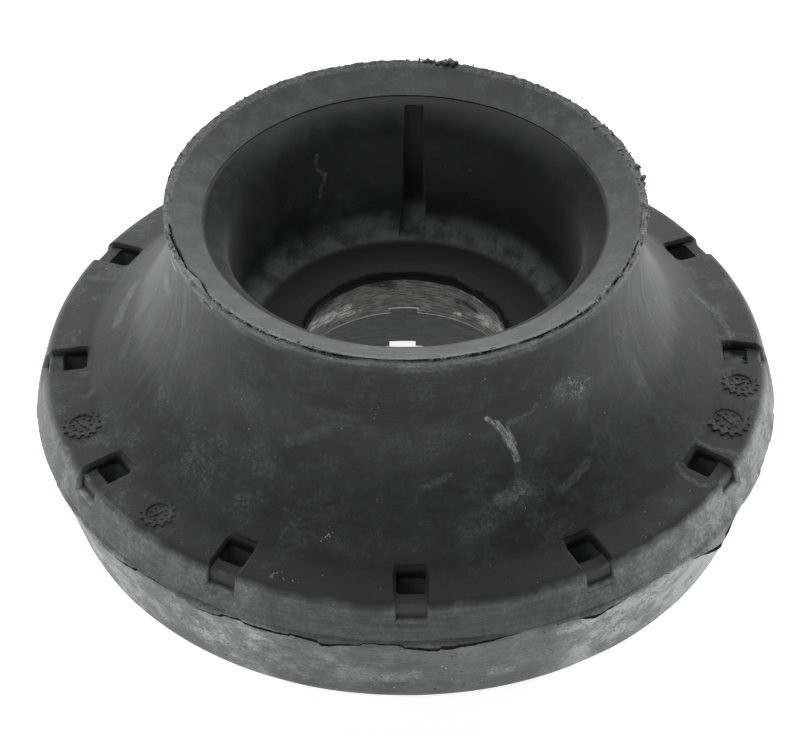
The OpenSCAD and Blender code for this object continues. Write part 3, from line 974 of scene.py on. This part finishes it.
    # An even film of dust in the bowl, with the left wall lightened as painted light
    bowl_dust_and_light = s.total(0.025, (bowl_left, 0.045), (low_left, 0.14))
    dust_and_glints = s.total(
        0.0,
        (below, below_dust_and_glow),
        (wall, wall_dust_and_glow),
        (top_edge, s.total(0.02, (s.ramp(blotch, 0.44, 0.64), 0.08), (far_right, 0.2))),
        (edge_highlight, s.ramp(blotch, 0.45, 0.62), s.ramp(beside, 0.3, 0.8, 0.05, 0.3)),
        (rim, rim_dust),
        (torn, s.plus(0.5, broken), s.ramp(forward, 0.3, 0.9, 0.24, 0.14)),
        (flank, flank_dust_and_highlights),
        (shelf, shelf_dust, 0.22),
        (front_left, s.total(0.012, (mottle, 0.07), (patchy, 0.02))),
        (front_right, s.total(0.006, (smeared, 0.03))),
        (chamber, s.total(0.05, (streaky, 0.1))),
        (lip_ring, s.ramp(blotch, 0.4, 0.6), 0.03),
        (bowl, bowl_dust_and_light, s.ramp(blotch, 0.42, 0.62, 0.6, 1.2)),
        (bowl_fillet, fillet_dust, 0.22),
        (pocket, 0.24),
        (notch_floor, s.plus(0.3, s.ramp(blotch, 0.4, 0.55)), 0.25),
    )
    # The bright scuff is brushed along its line, so its noise is stretched that way
    run = (Vector(BRIGHT_SCUFF[-1]) - Vector(BRIGHT_SCUFF[0])).normalized()
    along = s.measure("DOT_PRODUCT", mm, run)
    across = s.vectors("ADD", mm, s.scaled(run, s.times(along, -0.93)))
    brushed = s.times(s.ramp(s.noise(across, 3.2, 4, 0.7), 0.36, 0.58), s.total(0.55, (broken, 0.6)))
    marks = [s.stroke(mm, *ends) for ends in zip(BRIGHT_SCUFF, BRIGHT_SCUFF[1:], BRIGHT_SCUFF_W)]
    dust_and_glints = s.total(dust_and_glints, (s.fold("MAXIMUM", marks), brushed, 0.95))
    for line, width, strength in SCUFFS:
        marks = [s.stroke(bent, start, end, width) for start, end in zip(line, line[1:])]
        dust_and_glints = s.total(dust_and_glints, (s.fold("MAXIMUM", marks), s.total(0.45, (broken, 0.8)), strength))
    gritty = s.total(0.68, (s.ramp(fine, 0.36, 0.66), 0.42), (s.ramp(grain, 0.38, 0.64), 0.22))
    dust_and_glints = s.clamped(s.times(dust_and_glints, gritty))

    # Painted shade: darker colour on the bowl's floor, the notch walls, the shelf (most at the front), the
    # bowl's mouth away from the back, the lip's inner wall, the upper front flank, the flare's foot and the
    # flank at the sides
    shelf_shade = s.ramp(forward, -0.35, 0.15, 0.25, 0.52)
    shade = 1.0
    for darker in (
        (bowl_floor, 0.75), (notch_wall, 0.4), (shelf, shelf_shade), (mouth, 0.9), (lip_wall, 0.9),
        (upper_front, 0.55), (flare_foot, beside, 0.7), (flank, sides, 0.3),
    ):
        shade = s.times(shade, s.less(s.times(*darker)))
    clean = s.mix(s.ramp(uneven, 0.3, 0.7), (0.0215, 0.0220, 0.0220, 1), (0.0300, 0.0308, 0.0307, 1))
    clean = s.mix(shade, (0.0, 0.0, 0.0, 1), clean)
    colour = s.mix(dust_and_glints, clean, (0.442, 0.468, 0.461, 1))
    rough = s.total(
        0.47, (dust_and_glints, 0.6), (uneven, 0.14), (mouth, 0.5), (shelf, 0.15), (bowl_floor, 0.2),
        (upper_front, 0.12), (flare_foot, beside, 0.15), (lip_wall, 0.3),
    )
    height = s.total(
        0.0, (grain, 0.5), (blotch, 1.4), (around_streaks, below, 0.5), (dust_and_glints, 0.5), (torn, fine, 0.6),
    )
    return s.finish({
        "Base Color": colour, "Roughness": rough, "Normal": s.bump(0.4, height),
        "Sheen Weight": 0.1, "Sheen Roughness": 0.4,
    })


def gap_shadow_material():
    """Painted shadow: near-black for the strips in the parting gap and in the rim's crack."""
    s = Shader("painted_gap_shadow")
    tone = s.noise(s.position()[0], 1.5, 4, 0.6)
    colour = s.mix(s.ramp(tone, 0.35, 0.7), (0.003, 0.003, 0.0025, 1), (0.022, 0.020, 0.017, 1))
    rough = s.ramp(tone, 0.3, 0.7, 0.75, 0.95)
    return s.finish({"Base Color": colour, "Roughness": rough, "Specular IOR Level": 0.1})


def dust_material():
    """Pale grit."""
    s = Shader("pale_dust")
    tone = s.noise(s.position()[0], 0.8, 2)
    colour = s.mix(s.ramp(tone, 0.35, 0.65), (0.16, 0.165, 0.16, 1), (0.55, 0.56, 0.55, 1))
    return s.finish({"Base Color": colour, "Roughness": s.ramp(tone, 0.2, 0.8, 0.95, 0.75)})


# Rubber torn over the collar's wall, and places rubbed bright: start, end, half width
COLLAR_RUBBER = [
    ((-6.0, 17.0, 25.6), (-2.0, 17.9, 24.0), 1.3), ((8.2, 16.0, 22.6), (11.4, 13.9, 22.0), 0.7),
    ((-14.6, 10.5, 24.6), (-12.0, 13.4, 24.4), 1.0), ((12.4, 13.0, 25.9), (15.6, 9.0, 24.4), 0.9),
]
COLLAR_BRIGHT = [
    ((-15.0, 9.9, 22.0), (-10.0, 15.0, 21.0), 1.6), ((12.6, 12.9, 21.0), (16.4, 7.4, 22.4), 1.7),
    ((9.6, 15.2, 25.8), (12.6, 12.9, 25.2), 0.9), ((-9.0, 15.6, 20.2), (9.0, 15.6, 19.8), 0.8),
]


def steel_material():
    """Pressed steel, brushed round the collar, with smears of rubber, places rubbed bright, a painted
    highlight along the collar's lower edge and the key notch, and painted shade at the collar's top under the
    rubber lip.
    """
    s = Shader("pressed_steel")
    mm, r, turn, z = s.position()
    brush = s.noise(s.vector(s.times(turn, 7.0), s.times(z, 2.6), s.times(r, 1.5)), 1.0, 5, 0.75)
    lines = s.noise(s.vector(s.times(turn, 12.0), s.times(z, 9.0), r), 1.0, 4, 0.7)
    blotch = s.noise(mm, 0.3, 4, 0.6)
    grain = s.noise(mm, 2.2, 3)
    collar = s.fall(r, 18.6, 19.0)
    key = 0.0
    for back in (-180, 180):
        aside = s.times(s.plus(turn, math.radians(back - SLOT_TURN)), r)
        key = s.plus(key, s.fall(s.math("ABSOLUTE", aside), 2.3, 2.6))
    # Painted highlight: a bright line along the collar's lower edge and along the key notch's edge
    lower_edge, key_edge = s.band(z, 18.1, 18.45, 0.1), s.times(key, s.band(z, 19.2, 19.5, 0.1))
    edge = s.times(collar, s.plus(lower_edge, key_edge), 0.75)
    bent = s.bent(mm, 0.7, 0.7, (3.0, 3.0, 2.0))
    # Painted shade: the collar's top under the rubber lip is darkened, and added to the rubber smears
    under_lip_shade = s.times(collar, s.ramp(s.total(z, (blotch, 4.0)), 26.0, 29.0))
    rubbed_and_glint, rubber_smear_and_shade = edge, s.times(under_lip_shade, 0.6)
    rubbed, spotty = s.ramp(s.plus(brush, lines), 0.85, 1.15), s.ramp(grain, 0.3, 0.45)
    for mark in COLLAR_BRIGHT:
        rubbed_and_glint = s.total(rubbed_and_glint, (s.stroke(bent, *mark), rubbed, 0.95))
    for mark in COLLAR_RUBBER:
        rubber_smear_and_shade = s.total(rubber_smear_and_shade, (s.stroke(bent, *mark), spotty))
    rubbed_and_glint, rubber_smear_and_shade = s.clamped(rubbed_and_glint), s.clamped(rubber_smear_and_shade)
    streak = s.plus(s.times(brush, 0.65), s.times(lines, 0.35))
    base = s.mix(s.ramp(streak, 0.36, 0.64), (0.02, 0.02, 0.02, 1), (0.24, 0.24, 0.236, 1))
    base = s.mix(s.times(s.ramp(blotch, 0.42, 0.62), 0.5), base, (0.07, 0.066, 0.062, 1))
    base = s.mix(rubbed_and_glint, base, (0.62, 0.62, 0.61, 1))
    base = s.mix(rubber_smear_and_shade, base, (0.02, 0.021, 0.021, 1))
    metal = s.times(s.less(rubber_smear_and_shade), 0.55)
    rough = s.total(0.42, (rubber_smear_and_shade, 0.2), (lines, 0.15))
    height = s.total(0.0, (brush, 0.6), (lines, 0.6), (rubber_smear_and_shade, 1.2))
    bump = s.bump(0.35, height)
    return s.finish({"Base Color": base, "Roughness": rough, "Metallic": metal, "Normal": bump})


def dress(piece, material, slot, *nodes):
    piece.data.materials.clear()
    piece.data.materials.append(material)
    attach(piece, "root")
    if nodes:
        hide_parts(*nodes)


rubber = rubber_material()
dress(rubber_body(), rubber, "rubber", "rubber_body")
dress(rim_edge(), rubber, "rubber")
dress(flash_strip("parting_flash", parting_flash), rubber, "rubber")
# Painted shadow strips in the parting gap and in the rim's crack
gap_shadow = gap_shadow_material()
dress(flash_strip("parting_gap", parting_gap), gap_shadow, "rubber")
dress(flash_strip("rim_crack", rim_crack, EDGE_TURN_STEPS), gap_shadow, "rubber")
dress(crumbs(), rubber, "rubber")
dress(slot_film(SLOT_TURN + 90), rubber, "rubber")
dress(specks(rubber_section()[2]), dust_material(), "rubber")
for ring in DATE_RINGS:
    dress(date_ring(*ring), rubber, "rubber")

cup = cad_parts["bearing_cup"]
cup.data.materials.clear()
cup.data.materials.append(steel_material())

# Stage


# Half the width of the floor
FLOOR_HALF = 3000


def stage():
    corners = [(x * FLOOR_HALF, y * FLOOR_HALF, 0) for x, y in ((-1, -1), (1, -1), (1, 1), (-1, 1))]
    floor = mesh_object("floor", corners, [(0, 1, 2, 3)])
    pale = {"Base Color": (0.9, 0.9, 0.9, 1), "Roughness": 0.9}
    glow = {"Emission Color": (1, 1, 1, 1), "Emission Strength": 0.85}
    floor.data.materials.append(Shader("pale_floor").finish(pale | glow))


def softbox(name, angle, elevation, power, size=0.8, distance=1.3):
    data = bpy.data.lights.new(name, "AREA")
    data.energy, data.shape, data.size = power, "DISK", size
    light = bpy.data.objects.new(name, data)
    e = math.radians(elevation)
    aim = around(angle, math.cos(e), math.sin(e))
    light.location = aim * distance + Vector((0, 0, 0.03))
    light.rotation_euler = aim.to_track_quat("Z", "Y").to_euler()
    bpy.context.scene.collection.objects.link(light)


def camera():
    data = bpy.data.cameras.new("camera")
    data.lens, data.sensor_width, data.clip_end = 202.5, 36.0, 20.0
    data.shift_x = -0.0069
    view = bpy.data.objects.new("camera", data)
    elevation, distance, target = math.radians(40.05), 0.7193, Vector((0, 0, 0.0223))
    view.location = target + Vector((0, -math.cos(elevation), math.sin(elevation))) * distance
    view.rotation_euler = (math.pi / 2 - elevation, 0, 0)
    bpy.context.scene.collection.objects.link(view)
    bpy.context.scene.camera = view


# Lights: name, direction, elevation, power
SOFTBOXES = [
    ("back_top_box", 180, 70, 8.0), ("back_box", 180, 18, 6.5), ("back_right_box", 135, 18, 6.5),
    ("back_left_box", 225, 18, 6.5), ("front_left_box", 315, 40, 1.8), ("front_top_box", 0, 70, 1.0),
]

stage()
camera()
for box in SOFTBOXES:
    softbox(*box)
world = bpy.data.worlds.new("studio")
world.use_nodes = True
world.node_tree.nodes["Background"].inputs[1].default_value = 0.0
bpy.context.scene.world = world
bpy.context.scene.view_settings.view_transform = "Standard"
